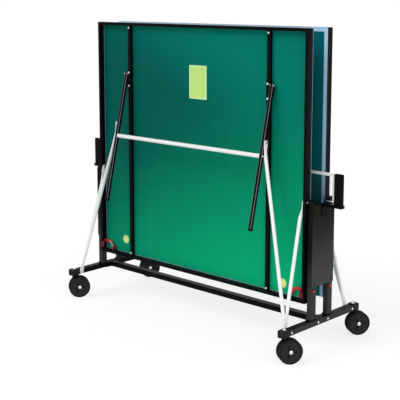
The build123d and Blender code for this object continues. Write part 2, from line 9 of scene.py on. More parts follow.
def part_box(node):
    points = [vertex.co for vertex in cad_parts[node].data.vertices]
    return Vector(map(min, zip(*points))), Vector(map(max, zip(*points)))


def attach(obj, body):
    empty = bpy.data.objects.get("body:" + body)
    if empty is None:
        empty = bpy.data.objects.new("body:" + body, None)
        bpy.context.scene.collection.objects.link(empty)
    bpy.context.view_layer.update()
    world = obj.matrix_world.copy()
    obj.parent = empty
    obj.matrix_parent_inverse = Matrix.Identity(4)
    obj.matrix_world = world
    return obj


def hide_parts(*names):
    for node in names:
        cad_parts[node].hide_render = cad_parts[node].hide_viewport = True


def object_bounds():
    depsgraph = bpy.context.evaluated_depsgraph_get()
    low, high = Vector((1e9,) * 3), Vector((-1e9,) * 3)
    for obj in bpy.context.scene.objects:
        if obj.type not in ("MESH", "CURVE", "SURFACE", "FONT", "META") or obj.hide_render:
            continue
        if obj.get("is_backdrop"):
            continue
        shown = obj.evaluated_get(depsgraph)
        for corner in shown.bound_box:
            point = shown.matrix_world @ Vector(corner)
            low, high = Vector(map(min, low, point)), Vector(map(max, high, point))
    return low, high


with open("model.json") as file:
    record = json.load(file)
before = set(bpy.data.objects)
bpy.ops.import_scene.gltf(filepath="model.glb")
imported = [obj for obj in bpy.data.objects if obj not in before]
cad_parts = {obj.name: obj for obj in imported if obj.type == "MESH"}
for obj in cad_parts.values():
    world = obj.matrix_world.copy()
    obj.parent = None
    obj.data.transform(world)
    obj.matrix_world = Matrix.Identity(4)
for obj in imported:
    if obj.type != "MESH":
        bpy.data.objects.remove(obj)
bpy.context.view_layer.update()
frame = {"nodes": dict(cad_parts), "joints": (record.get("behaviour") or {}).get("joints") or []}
nodes = frame["nodes"]

# Foot beams and cross rail
# Square steel tubes across the two ends, joined by one long rail with a flange across each end.
# Cut, welded and coated with black powder; painted light pales the outer faces of the beams and the top
# of the rail.


class Shade:
    """One socket of a finish, with the sums and the nodes that follow from it."""

    def __init__(self, tree, socket):
        self.tree = tree
        self.socket = socket

    def node(self, kind, settings, sockets, output=0):
        """Add any node: its settings first, then the values or links of its sockets."""
        made = self.tree.nodes.new(kind)
        for name, value in settings.items():
            setattr(made, name, value)
        for name, value in sockets.items():
            if isinstance(value, Shade):
                self.tree.links.new(value.socket, made.inputs[name])
            else:
                made.inputs[name].default_value = value
        return Shade(self.tree, made.outputs[output])

    def sum(self, operation, first, second=0.0):
        """One Math node on two values."""
        return self.node("ShaderNodeMath", {"operation": operation}, {0: first, 1: second})

    def __add__(self, other):
        return self.sum("ADD", self, other)

    def __radd__(self, other):
        return self.sum("ADD", other, self)

    def __sub__(self, other):
        return self.sum("SUBTRACT", self, other)

    def __rsub__(self, other):
        return self.sum("SUBTRACT", other, self)

    def __mul__(self, other):
        return self.sum("MULTIPLY", self, other)

    def __rmul__(self, other):
        return self.sum("MULTIPLY", other, self)

    def __gt__(self, other):
        return self.sum("GREATER_THAN", self, other)

    def __lt__(self, other):
        return self.sum("LESS_THAN", self, other)

    def __abs__(self):
        return self.sum("ABSOLUTE", self)

    def wave(self, turns):
        """A sine of the shade, from -1 to 1."""
        return self.sum("SINE", self * turns)

    def lifted(self):
        """A wave from -1 to 1, brought to 0 to 1."""
        return 0.5 + 0.5 * self

    def either(self, other):
        """The larger of two masks."""
        return self.sum("MAXIMUM", self, other)

    def axes(self):
        """The three numbers of a place."""
        return [self.node("ShaderNodeSeparateXYZ", {}, {0: self}, axis) for axis in range(3)]

    def stretch(self, scale):
        """The place with each axis scaled, for patterns that run one way."""
        return self.node("ShaderNodeMapping", {}, {"Vector": self, "Scale": scale})

    def noise(self, scale, detail):
        """A cloudy pattern over the place, from 0 to 1."""
        return self.node("ShaderNodeTexNoise", {}, {"Vector": self, "Scale": scale, "Detail": detail})

    def fade(self, low, high):
        """From 0 at low to 1 at high, smoothly."""
        ends = {"Value": self, "From Min": low, "From Max": high}
        return self.node("ShaderNodeMapRange", {"interpolation_type": "SMOOTHSTEP"}, ends)

    def mix(self, low, high):
        """One colour where the mask is 0, the other where it is 1."""
        return self.node("ShaderNodeMix", {"data_type": "RGBA"}, {0: self, 6: low, 7: high}, 2)

    def into(self, shader, socket):
        """Link the shade to a socket of the shader."""
        self.tree.links.new(self.socket, shader.inputs[socket])

    def bump(self, shader, height):
        """Raise the surface by this height where the shade is 1."""
        self.node("ShaderNodeBump", {}, {"Distance": height, "Height": self}).into(shader, "Normal")


def new_finish(name, constants):
    """A new material, its shader with the constants set, and the place of each point on the piece."""
    material = bpy.data.materials.new(name)
    material.use_nodes = True
    tree = material.node_tree
    shader = tree.nodes["Principled BSDF"]
    for socket, value in constants.items():
        shader.inputs[socket].default_value = value
    return material, shader, Shade(tree, tree.nodes.new("ShaderNodeTexCoord").outputs["Object"])


def square_edges(facing):
    """The rounded edges of pieces that stand square: where the surface faces along no axis."""
    rounded = 0.88
    flat = 0.99
    x, y, z = [abs(axis) for axis in facing.axes()]
    return 1 - x.either(y).either(z).fade(rounded, flat)


black = (0.0022, 0.0022, 0.0026, 1)
dusty_black = (0.005, 0.005, 0.0055, 1)
# Rubbed wear at the edges, and also a painted highlight: the paler edge stands in for light caught on the
# rounded edges.
rubbed_and_highlit_black = (0.020, 0.020, 0.022, 1)
flat_black = (0.0026, 0.0026, 0.003, 1)
# Painted light: the beams' outer faces and a painted highlight on the rail's top are paler where light
# falls on them.
beam_painted_light = (0.034, 0.033, 0.037, 1)
rail_painted_highlight = (0.075, 0.075, 0.076, 1)
painted_light_gain = 1.3
powder_gloss = 0.035
powder_rough = 0.30
cloud_rough = 0.12
peel_rough = 0.06
peel_scale = 650.0
fine_detail = 2.0
peel_height = 0.00005
cloud_scale = 7.0
rich_detail = 4.0
dust_clouds = (0.5, 0.75)
least_rub = 0.4


def powder_coat(name, colour, dusty_and_lit, worn, gloss, edges=square_edges):
    """Baked powder: an even colour under a fine orange peel, dulled by dust, with rubbed wear at the
    edges that is also a painted highlight on the black.
    """
    material, shader, place = new_finish(name, {"Specular IOR Level": gloss})
    peel = place.noise(peel_scale, fine_detail)
    cloud = place.noise(cloud_scale, rich_detail)
    dust_and_painted_light = cloud.fade(*dust_clouds)
    # Edge mask: rubbed wear, and on the black powders also a painted highlight.
    edge_wear_and_highlight = edges(place.node("ShaderNodeTexCoord", {}, {}, "Normal")) * (least_rub + cloud)
    edge_wear_and_highlight.mix(dust_and_painted_light.mix(colour, dusty_and_lit), worn).into(shader, "Base Color")
    (powder_rough + cloud_rough * cloud + peel_rough * peel).into(shader, "Roughness")
    peel.bump(shader, peel_height)
    return material


def dress(material, *names):
    """Give the CAD nodes of these names their finish."""
    for name in names:
        for slot in nodes[name].material_slots:
            slot.material = material


def lit_face_coat(name, where, pale):
    """Black powder with painted light on the faces where the mask says, its pale colour varied by a
    cloud.
    """
    material, shader, place = new_finish(name, {"Specular IOR Level": powder_gloss})
    peel = place.noise(peel_scale, fine_detail)
    cloud = place.noise(cloud_scale, rich_detail)
    shifted = cloud.mix(pale, [painted_light_gain * channel for channel in pale[:3]] + [1])
    where(*place.axes()).mix(flat_black, shifted).into(shader, "Base Color")
    (powder_rough + cloud_rough * cloud + peel_rough * peel).into(shader, "Roughness")
    peel.bump(shader, peel_height)
    return material


black_powder = powder_coat("black_powder", black, dusty_black, rubbed_and_highlit_black, powder_gloss)
face_skin = 0.001
beam_outer_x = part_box("foot_beams")[1].x - face_skin
rail_low, rail_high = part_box("cross_rail")
rail_top_z = rail_high.z - face_skin
beam_lit_coat = lit_face_coat("beam_lit_coat", lambda x, y, z: abs(x) > beam_outer_x, beam_painted_light)
rail_lit_coat = lit_face_coat("rail_lit_coat", lambda x, y, z: z > rail_top_z, rail_painted_highlight)
dress(beam_lit_coat, "foot_beams")
dress(rail_lit_coat, "cross_rail")


def begin(add, **size):
    """Add a primitive with nothing else selected, ready to be shaped."""
    bpy.ops.object.select_all(action="DESELECT")
    add(**size)
    return bpy.context.object


def alone(piece):
    """Make one piece the only selected and active one."""
    bpy.ops.object.select_all(action="DESELECT")
    piece.select_set(True)
    bpy.context.view_layer.objects.active = piece


merge_reach = 0.00001
crease = math.radians(35)


def settle(piece, name, material, body):
    """Fix a shaped piece's place and modifiers into its mesh, and give it its finish and body."""
    alone(piece)
    bpy.ops.object.transform_apply(location=True, rotation=True, scale=True)
    for modifier in list(piece.modifiers):
        bpy.ops.object.modifier_apply(modifier=modifier.name)
    bpy.ops.object.mode_set(mode="EDIT")
    bpy.ops.mesh.select_all(action="SELECT")
    bpy.ops.mesh.dissolve_degenerate(threshold=merge_reach)
    bpy.ops.object.mode_set(mode="OBJECT")
    bpy.ops.object.shade_smooth_by_angle(angle=crease)
    piece.name = name
    piece.data.name = name
    piece.data.materials.clear()
    piece.data.materials.append(material)
    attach(piece, body)


bead_radius = 0.0024
bead_cuts = 15
bead_swell = 0.22


def weld_bead(name, middle, width, depth, turn, material):
    """A rippled bead of weld round the foot of a square tube."""
    bead = begin(bpy.ops.mesh.primitive_plane_add, size=1, location=middle, rotation=turn)
    bead.scale = (width, depth, 1)
    bpy.ops.object.transform_apply(location=True, rotation=True, scale=True)
    bpy.ops.object.mode_set(mode="EDIT")
    bpy.ops.mesh.delete(type="ONLY_FACE")
    bpy.ops.mesh.select_all(action="SELECT")
    bpy.ops.mesh.subdivide(number_cuts=bead_cuts)
    bpy.ops.object.mode_set(mode="OBJECT")
    bpy.ops.object.convert(target="CURVE")
    bead.data.bevel_depth = bead_radius
    bead.data.bevel_resolution = 2
    for number, point in enumerate(bead.data.splines[0].points):
        point.radius = 1 + bead_swell * (number % 2)
    bpy.ops.object.convert(target="MESH")
    settle(bead, name, material, "chassis")


rail_tube_half = 0.020
rail_flange = 0.004
rail_height = rail_high.z - rail_low.z
quarter_turn = math.radians(90)
on_end = (0, quarter_turn, 0)
for hand, way in (("left", -1), ("right", 1)):
    seam = (way * (rail_high.x - rail_flange), 0, (rail_low.z + rail_high.z) / 2)
    weld_bead(f"{hand}_rail_weld", seam, rail_height, 2 * rail_tube_half, on_end, black_powder)

# Foot end caps
# Blocks of black nylon plugged into the ends of the foot beams, each with a socket for a caster.
# Moulded in one piece, with the fine grain of the mould on every face.
grain_scale = 1400.0
grain_height = 0.00006
flow_scale = 22.0
soft_detail = 3.0
scuff_run = (60.0, 420.0, 90.0)
scuff_detail = 5.0
scuff_ends = (0.62, 0.72)
as_stretched = 1.0
flow_rough = 0.14
grain_rough = 0.06


def moulded_plastic(name, colour, scuffed, rough, gloss):
    """Moulded plastic: a fine spark grain, faint flow clouds and a few pale scuffs."""
    material, shader, place = new_finish(name, {"Specular IOR Level": gloss})
    grain = place.noise(grain_scale, fine_detail)
    cloud = place.noise(flow_scale, soft_detail)
    scuff = place.stretch(scuff_run).noise(as_stretched, scuff_detail).fade(*scuff_ends)
    (scuff * cloud).mix(colour, scuffed).into(shader, "Base Color")
    (rough + flow_rough * cloud + grain_rough * grain).into(shader, "Roughness")
    grain.bump(shader, grain_height)
    return material


nylon_black = (0.0035, 0.0035, 0.004, 1)
nylon_scuff = (0.02, 0.02, 0.02, 1)
cap_grey = (0.014, 0.014, 0.015, 1)
cap_scuff = (0.06, 0.06, 0.06, 1)
black_plastic = moulded_plastic("black_plastic", nylon_black, nylon_scuff, rough=0.38, gloss=0.04)
cap_plastic = moulded_plastic("cap_plastic", cap_grey, cap_scuff, rough=0.36, gloss=0.06)
dress(cap_plastic, "foot_end_caps")

# Casters
# A nylon arm with a steel stem carries two wheel discs on one axle, held by domed nuts.
# The discs are moulded grey plastic and each has a rubber tyre pressed over its rim.
corners = ["front_left", "front_right", "rear_left", "rear_right"]
wheel_dark = (0.015, 0.015, 0.016, 1)
wheel_pale = (0.030, 0.030, 0.031, 1)
# Painted shade: near black deep in the grooves and between the twin discs.
wheel_groove_shade = (0.0015, 0.0015, 0.0015, 1)
wheel_gloss = 0.06
wheel_cloud_scale = 40.0
wheel_rough = 0.42
wheel_cloud_rough = 0.14
ring_share = 0.4
ring_turns = 1500.0
ring_height = 0.00004
tyre_clean = (0.008, 0.008, 0.008, 1)
tyre_dust = (0.024, 0.023, 0.022, 1)
tyre_gloss = 0.12
tyre_rough = 0.68
tyre_dust_scale = 30.0
tyre_dust_ends = (0.45, 0.8)
pore_scale = 500.0
pore_rough = 0.2
pore_height = 0.0001
bright_plate = (0.82, 0.83, 0.85, 1)
dull_plate = (0.62, 0.63, 0.66, 1)
plate_scale = 240.0
plate_rough = 0.22
plate_cloud_rough = 0.12
brush_run = (300.0, 3000.0, 3000.0)
brush_rough = 0.05
brush_height = 0.00002


def joint_named(name):
    """The frame's entry of one joint."""
    return next(joint for joint in frame["joints"] if joint["name"] == name)


def wheel_plastic(name, hub, axle, groove_reach):
    """Grey plastic discs: turned rings, a soft cloud, and painted shade that darkens the grooves."""
    material, shader, place = new_finish(name, {"Specular IOR Level": wheel_gloss})
    spoke = place.node("ShaderNodeVectorMath", {"operation": "SUBTRACT"}, {0: place, 1: hub})
    along = spoke.node("ShaderNodeVectorMath", {"operation": "DOT_PRODUCT"}, {0: spoke, 1: axle}, "Value")
    radius = spoke.node("ShaderNodeVectorMath", {"operation": "LENGTH"}, {0: spoke}, "Value")
    painted_groove_shade = abs(along) < groove_reach
    cloud = place.noise(wheel_cloud_scale, soft_detail)
    rings = radius.wave(ring_turns).lifted()
    worn = ((1 - ring_share) * cloud + ring_share * rings).mix(wheel_dark, wheel_pale)
    painted_groove_shade.mix(worn, wheel_groove_shade).into(shader, "Base Color")
    (wheel_rough + wheel_cloud_rough * cloud).into(shader, "Roughness")
    rings.bump(shader, ring_height)
    return material


def rubber(name):
    """Matt rubber with fine pores, greyer where the dust of the floor clings."""
    material, shader, place = new_finish(name, {"Specular IOR Level": tyre_gloss})
    pores = place.noise(pore_scale, soft_detail)
    dust_and_painted_light = place.noise(tyre_dust_scale, rich_detail).fade(*tyre_dust_ends)
    dust_and_painted_light.mix(tyre_clean, tyre_dust).into(shader, "Base Color")
    (tyre_rough + pore_rough * pores).into(shader, "Roughness")
    pores.bump(shader, pore_height)
    return material


def plated_steel(name, colour, dull, rough):
    """Bright plate over steel: metal with a soft cloud of duller plate and fine brushing."""
    material, shader, place = new_finish(name, {"Metallic": 1.0})
    cloud = place.noise(plate_scale, soft_detail)
    brushing = place.stretch(brush_run).noise(as_stretched, fine_detail)
    cloud.mix(colour, dull).into(shader, "Base Color")
    (rough + plate_cloud_rough * cloud + brush_rough * brushing).into(shader, "Roughness")
    brushing.bump(shader, brush_height)
    return material


tyre_rubber = rubber("tyre_rubber")
zinc = plated_steel("zinc", bright_plate, dull_plate, plate_rough)
groove_lip = 0.0024
for corner in corners:
    roll = joint_named(f"{corner}_wheel_roll")
    hub = Vector(roll["pos_m"])
    axle = Vector(roll["axis"])
    reach = max((point.co - hub) @ axle for point in nodes[f"{corner}_wheel"].data.vertices)
    dress(black_plastic, f"{corner}_caster_arm")
    dress(wheel_plastic(f"{corner}_disc_grey", hub, axle, reach - groove_lip), f"{corner}_wheel")
    dress(tyre_rubber, f"{corner}_tyres")


def choose(piece, kind, test):
    """In edit mode, select only the corners, edges or faces that pass the test."""
    bpy.ops.mesh.select_mode(type=kind)
    bpy.ops.mesh.select_all(action="DESELECT")
    shape = bmesh.from_edit_mesh(piece.data)
    for item in {"VERT": shape.verts, "EDGE": shape.edges, "FACE": shape.faces}[kind]:
        item.select_set(test(item))
    shape.select_flush_mode()
    bmesh.update_edit_mesh(piece.data)


def copy_of(pattern, place):
    """A copy of a shaped pattern with a mesh of its own, set at a place."""
    made = pattern.copy()
    made.data = pattern.data.copy()
    bpy.context.collection.objects.link(made)
    made.matrix_world = place
    return made


def bevelled(piece, width, segments):
    """Round the edges of a piece."""
    edge = piece.modifiers.new("edge", "BEVEL")
    edge.width = width
    edge.segments = segments
    edge.limit_method = "ANGLE"


hub_washer_radius = 0.0095
hub_washer_height = 0.0012
hub_dome = [(0.0022, 1.0), (0.0015, 0.86), (0.001, 0.7), (0.0004, 0.4)]
hub_dome_radius = 0.0062
hub_edge = 0.0003
square_on = 0.9
hub_nut = begin(
    bpy.ops.mesh.primitive_cylinder_add,
    vertices=32,
    radius=hub_washer_radius,
    depth=hub_washer_height,
    location=(0, 0, hub_washer_height / 2),
)
bpy.ops.object.transform_apply(location=True)
bpy.ops.object.mode_set(mode="EDIT")
choose(hub_nut, "FACE", lambda face: face.normal.z > square_on)
bpy.ops.mesh.inset(thickness=hub_washer_radius - hub_dome_radius)
for rise, share in hub_dome:
    bpy.ops.mesh.extrude_region_move(TRANSFORM_OT_translate={"value": (0, 0, rise)})
    bpy.ops.transform.resize(value=(share, share, 1))
bpy.ops.object.mode_set(mode="OBJECT")
bevelled(hub_nut, hub_edge, segments=2)
for corner in corners:
    roll = joint_named(f"{corner}_wheel_roll")
    hub = Vector(roll["pos_m"])
    for face, way in (("outer", 1), ("inner", -1)):
        out = way * Vector(roll["axis"])
        reach = max((point.co - hub) @ out for point in nodes[f"{corner}_wheel"].data.vertices)
        stand = Matrix.Translation(hub + out * reach) @ out.to_track_quat("Z", "Y").to_matrix().to_4x4()
        nut = copy_of(hub_nut, stand)
        settle(nut, f"{corner}_hub_nut_{face}", zinc, f"{corner}_rolling")
cap_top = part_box("foot_end_caps")[1].z
for corner in corners:
    stem = Vector(joint_named(f"{corner}_caster_swivel")["pos_m"])
    nut = copy_of(hub_nut, Matrix.Translation((stem.x, stem.y, cap_top)))
    settle(nut, f"{corner}_stem_nut", zinc, "chassis")
bpy.data.objects.remove(hub_nut)

# Guide posts
# Square tubes in pairs on foot plates, slotted on their inner sides for the guide pins.
# Black powder, greyed towards the floor with painted light; a plastic plug closes each top.
# Painted light: the posts turn from black to grey towards the floor.
post_top_black = (0.006, 0.006, 0.007, 1)
post_painted_light = (0.040, 0.040, 0.041, 1)
post_light_ends = (0.28, 0.60)
smooth_peel_scale = 700.0
smooth_peel_height = 0.00004
veil_scale = 9.0
veil_drift = 0.08
smooth_rough = 0.24
paler_rough = 0.14
veil_rough = 0.06


def graded_coat(name, low, high, upper_colour, dusty_and_lit):
    """Smooth powder that turns paler below, over a cloudy edge between two heights: painted light on the
    posts, a painted reflection on the covers.
    """
    material, shader, place = new_finish(name, {"Specular IOR Level": powder_gloss})
    z = place.axes()[2]
    peel = place.noise(smooth_peel_scale, fine_detail)
    cloud = place.noise(veil_scale, rich_detail)
    # Painted light: paler below, between the two heights.
    dust_and_painted_light = 1 - (z + veil_drift * cloud).fade(low, high)
    dust_and_painted_light.mix(upper_colour, dusty_and_lit).into(shader, "Base Color")
    (smooth_rough + paler_rough * dust_and_painted_light + veil_rough * cloud).into(shader, "Roughness")
    peel.bump(shader, smooth_peel_height)
    return material


coal_powder = graded_coat("coal_powder", *post_light_ends, post_top_black, post_painted_light)
dress(coal_powder, "left_posts", "right_posts")
post_low, post_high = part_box("right_posts")
post_width = post_high.x - post_low.x
post_depth = 0.040
post_middle = Vector(((post_low.x + post_high.x) / 2, post_high.y - post_depth / 2, post_low.z))
unturned = (0, 0, 0)
for hand, way in (("left", -1), ("right", 1)):
    for half, side in (("front", -1), ("rear", 1)):
        foot = (way * post_middle.x, side * post_middle.y, post_middle.z)
        weld_bead(f"{half}_{hand}_post_weld", foot, post_width, post_depth, unturned, coal_powder)
dress(black_powder, "post_feet")
dress(black_plastic, "post_caps")

# Post covers
# Flat plates of sheet steel bolted across each pair of posts, plain and black.
# The coat is smooth, as on the posts, and a painted reflection greys it towards the floor.
cover_low, cover_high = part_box("post_covers")
# Painted reflection: the covers run from near black at the top to grey towards the floor.
cover_top_colour = (0.008, 0.006, 0.004, 1)
cover_painted_reflection = (0.060, 0.060, 0.060, 1)
cover_reflection_above = 0.04
cover_reflection_ends = (cover_low.z, cover_high.z + cover_reflection_above)
cover_reflection_coat = graded_coat("cover_reflection_coat", *cover_reflection_ends, cover_top_colour, cover_painted_reflection)
dress(cover_reflection_coat, "post_covers")

# Lock bushes
# Red bushes pressed into the outer faces of the posts, where the guide pins come to rest.
# Moulded in the same red plastic as the levers.
red = (0.55, 0.016, 0.020, 1)
red_scuff = (0.62, 0.10, 0.10, 1)
red_gloss = 0.2
red_plastic = moulded_plastic("red_plastic", red, red_scuff, rough=0.3, gloss=red_gloss)
dress(red_plastic, "lock_bushes")

# Guide pins and rollers
# Zinc plated pins carry each half, and nylon rollers on them run inside the posts.
# The pins are turned, the rollers moulded.
for half in ("front", "rear"):
    dress(zinc, f"{half}_guide_pins")
    dress(black_plastic, f"{half}_guide_rollers")
    dress(black_powder, f"{half}_guide_plates")

# Aprons
# Four steel tubes, mitred and welded to a frame under the edges of each board.
# Black powder as on the chassis.
for half in ("front", "rear"):
    dress(black_powder, f"{half}_apron")

# Boards
# Wood-fibre panels, lacquered green on both faces, with painted pale lines on the playing face, whose
# pale blue is painted shade.
# Underneath, painted light brightens the green to the lower right and along the top.
# The edge is black but for the pale rim of the top coat, and a painted highlight runs as a pale line
# along the apron.
half_low, half_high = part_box("rear_board")
line_width = 0.020
centre_line = 0.003
lacquer_skin = 0.0003
rim_width = 0.0025
apron_width = 0.016
highlight_line_width = 0.0045
# Painted light: the underside runs from a shaded green to lighter greens at the lower right and the top.
shaded_green = (0.001, 0.105, 0.086, 1)
painted_lit_green = (0.002, 0.420, 0.178, 1)
painted_top_lit_green = (0.001, 0.260, 0.185, 1)
# Painted highlight: a pale blue line on the underside along the apron's inner edge.
highlight_line_blue = (0.16, 0.30, 0.36, 1)
play_dark = (0.001, 0.125, 0.150, 1)
play_pale = (0.002, 0.160, 0.170, 1)
# The lines are white; their pale blue is painted shade.
shaded_line_paint = (0.48, 0.74, 1.0, 1)
edge_black = (0.006, 0.006, 0.007, 1)
rim_grey = (0.26, 0.32, 0.36, 1)
board_gloss = 0.02
board_rough = 0.38
play_rough = 0.12
tone_rough = 0.10
tone_scale = 2.5
roller_scale = 900.0
lacquer_height = 0.00005
line_rise = 0.5
streak_run = (26.0, 1.0, 1.2)
streak_share = 0.5
painted_light_right = 0.40
painted_light_down = 0.95
painted_light_drift = 0.25
top_light_right = 0.5
top_light_share = 0.6
low_light_ends = (-1.15, 0.30)
top_light_ends = (1.1, 1.7)


def board_lacquer(name):
    """Green lacquer: bluer on the playing face with its lines, black edges; underneath, painted light to
    the lower right and top, and a painted highlight line along the apron.
    """
    material, shader, place = new_finish(name, {"Specular IOR Level": board_gloss})
    x, y, z = place.axes()
    depth = abs(y)
    side = abs(x)
    playing = depth < half_low.y + lacquer_skin
    rim = depth < half_low.y + rim_width
    under = depth > half_high.y - lacquer_skin
    side_line = side > half_high.x - line_width
    end_line = z > half_high.z - line_width
    lines = side_line.either(end_line).either(side < centre_line / 2)
    # Mask of the painted highlight line along the apron, under the board.
    beside = side > half_high.x - apron_width - highlight_line_width
    painted_highlight_line = beside.either(z < half_low.z + apron_width + highlight_line_width)
    cloud = place.noise(tone_scale, rich_detail)
    streak = place.stretch(streak_run).noise(as_stretched, soft_detail)
    roller = place.noise(roller_scale, fine_detail)
    tone = (1 - streak_share) * cloud + streak_share * streak
    # Painted light across the underside, lighter to the lower right and along the top.
    painted_low_light = (painted_light_right * x - painted_light_down * z + painted_light_drift * tone).fade(*low_light_ends)
    painted_top_light = (z + top_light_right * x).fade(*top_light_ends)
    lower = painted_low_light.mix(shaded_green, painted_lit_green)
    green = (top_light_share * painted_top_light).mix(lower, painted_top_lit_green)
    below = painted_highlight_line.mix(green, highlight_line_blue)
    above = tone.mix(play_dark, play_pale)
    marked = lines.mix(above, shaded_line_paint)
    edge = rim.mix(edge_black, rim_grey)
    under.mix(playing.mix(edge, marked), below).into(shader, "Base Color")
    (board_rough + play_rough * playing + tone_rough * cloud).into(shader, "Roughness")
    (roller + line_rise * (lines * playing)).bump(shader, lacquer_height)
    return material


board_green = board_lacquer("board_green")
for half in ("front", "rear"):
    dress(board_green, f"{half}_board")

# Stickers
# A blank paper label and two plain paper discs, stuck to the underside of the front half.
# Thin stock, glued on flat; the label has soft corners and a paler margin, the discs a greener rim.
paper_thickness = 0.0003
label_paint = (0.56, 0.84, 0.22, 1)
label_rim_paint = (0.58, 0.90, 0.42, 1)
label_low = Vector((-0.055, 1.222))
label_high = Vector((0.072, 1.403))
label_middle = (label_low + label_high) / 2
label_size = label_high - label_low
label_margin = 0.007
label_corner = 0.003
disc_paint = (0.72, 0.86, 0.30, 1)
disc_rim_paint = (0.28, 0.60, 0.10, 1)
disc_places = [(-0.574, 0.348), (0.603, 0.320)]
disc_radius = 0.0255
disc_rim = 0.003
paper_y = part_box("front_board")[0].y - paper_thickness / 2
fibre_run = (900.0, 900.0, 300.0)
fibre_height = 0.00004
fibre_share = 0.3
fibre_rough = 0.2
paper_gloss = 0.3
paper_rough = 0.55
paper_cloud_scale = 28.0
yellowing = 0.86


def paper(name, colour, margin_colour, margin):
    """Matt paper: fibres, a slow yellowing, and a margin of its own colour where the mask says."""
    material, shader, place = new_finish(name, {"Specular IOR Level": paper_gloss})
    fibre = place.stretch(fibre_run).noise(as_stretched, rich_detail)
    cloud = place.noise(paper_cloud_scale, soft_detail)
    age = (1 - fibre_share) * cloud + fibre_share * fibre
    aged = age.mix(colour, [yellowing * channel for channel in colour[:3]] + [1])
    margin(place).mix(aged, margin_colour).into(shader, "Base Color")
    (paper_rough + fibre_rough * fibre).into(shader, "Roughness")
    fibre.bump(shader, fibre_height)
    return material


def label_edge(place):
    """The margin along the four edges of the label."""
    x, y, z = place.axes()
    sides = abs(x - label_middle.x) > label_size.x / 2 - label_margin
    ends = abs(z - label_middle.y) > label_size.y / 2 - label_margin
    return sides.either(ends)


def disc_edge(place):
    """The rim: wherever a point is outside the inner circle of both discs."""
    outside = 1.0
    x, y, z = place.axes()
    for middle_x, middle_z in disc_places:
        across = x - middle_x
        along = z - middle_z
        outside = (across * across + along * along > (disc_radius - disc_rim) ** 2) * outside
    return outside


label_paper = paper("label_paper", label_paint, label_rim_paint, label_edge)
disc_paper = paper("disc_paper", disc_paint, disc_rim_paint, disc_edge)
label = begin(
    bpy.ops.mesh.primitive_plane_add,
    size=1,
    location=(label_middle.x, paper_y, label_middle.y),
    rotation=(quarter_turn, 0, 0),
)
label.scale = (label_size.x, label_size.y, 1)
bpy.ops.object.transform_apply(location=True, rotation=True, scale=True)
bpy.ops.object.mode_set(mode="EDIT")
bpy.ops.mesh.bevel(affect="VERTICES", offset=label_corner, segments=4)
bpy.ops.object.mode_set(mode="OBJECT")
stock = label.modifiers.new("stock", "SOLIDIFY")
stock.thickness = paper_thickness
stock.offset = 0
settle(label, "blank_label", label_paper, "front_half")
for number, (x, z) in enumerate(disc_places, 1):
    disc = begin(
        bpy.ops.mesh.primitive_circle_add,
        vertices=48,
        radius=disc_radius,
        fill_type="NGON",
        location=(x, paper_y, z),
        rotation=(quarter_turn, 0, 0),
    )
    stock = disc.modifiers.new("stock", "SOLIDIFY")
    stock.thickness = paper_thickness
    stock.offset = 0
    settle(disc, f"plain_disc_{number}", disc_paper, "front_half")

# Battens, brackets and legs
# Square tubes stiffen each board, and bent brackets on them carry the folding legs.
# Black powder on steel, with a painted highlight along the legs' edges; a white bar joins them, nylon
# glides end them.
leg_edge_ends = (0.02, 0.12)


def leg_edges(facing):
    """The rounded edges of the legs, which lean but keep two sides square to the X axis."""
    across = abs(facing.axes()[0])
    return (across * (1 - across)).fade(*leg_edge_ends)


white = (0.87, 0.88, 0.89, 1)
dusty_white = (0.80, 0.80, 0.80, 1)
rubbed_white = (0.84, 0.84, 0.85, 1)
# Painted highlight: a pale line along the legs' rounded edges, where light catches them.
leg_edge_highlight = (0.30, 0.29, 0.30, 1)
white_powder = powder_coat("white_powder", white, dusty_white, rubbed_white, gloss=0.3)
leg_highlight_powder = powder_coat("leg_highlight_powder", black, dusty_black, leg_edge_highlight, powder_gloss, leg_edges)
for half in ("front", "rear"):
    dress(black_powder, f"{half}_battens", f"{half}_leg_brackets")
    dress(leg_highlight_powder, f"{half}_legs")
    dress(black_plastic, f"{half}_leg_glides")
    dress(white_powder, f"{half}_leg_bar")

# Struts
# White steel tubes pinched flat at both ends, from the foot beams to the legs and side aprons.
# Each turns on pivot bolts, with a lock nut on the inner side of its foot.
for half in ("front", "rear"):
    dress(white_powder, f"{half}_leg_links", f"{half}_side_links")
eye_radius = 0.011
strut_flat = 0.004
lock_nut_radius = 0.0075
lock_nut_height = 0.0055
lock_collar_height = 0.002
lock_collar_inset = 0.0016
lock_rim = 0.0012
lock_recess = 0.0009
lock_edge = 0.0004
lock_nut = begin(
    bpy.ops.mesh.primitive_cylinder_add,
    vertices=6,
    radius=lock_nut_radius,
    depth=lock_nut_height,
    location=(0, 0, lock_nut_height / 2),
)
bpy.ops.object.transform_apply(location=True)
bpy.ops.object.mode_set(mode="EDIT")
choose(lock_nut, "FACE", lambda face: face.normal.z > square_on)
bpy.ops.mesh.inset(thickness=lock_collar_inset)
bpy.ops.mesh.extrude_region_move(TRANSFORM_OT_translate={"value": (0, 0, lock_collar_height)})
bpy.ops.mesh.inset(thickness=lock_rim)
bpy.ops.mesh.extrude_region_move(TRANSFORM_OT_translate={"value": (0, 0, -lock_recess)})
bpy.ops.object.mode_set(mode="OBJECT")
bevelled(lock_nut, lock_edge, segments=2)
for half, side in (("front", -1), ("rear", 1)):
    low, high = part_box(f"{half}_leg_links")
    foot_y = (high.y if side > 0 else low.y) - side * eye_radius
    for hand, way in (("left", -1), ("right", 1)):
        inner_x = way * (high.x - strut_flat)
        facing = Vector((-way, 0, 0)).to_track_quat("Z", "Y").to_matrix().to_4x4()
        nut = copy_of(lock_nut, Matrix.Translation((inner_x, foot_y, low.z + eye_radius)) @ facing)
        settle(nut, f"{half}_{hand}_foot_nut", zinc, f"{half}_leg_struts")
bpy.data.objects.remove(lock_nut)

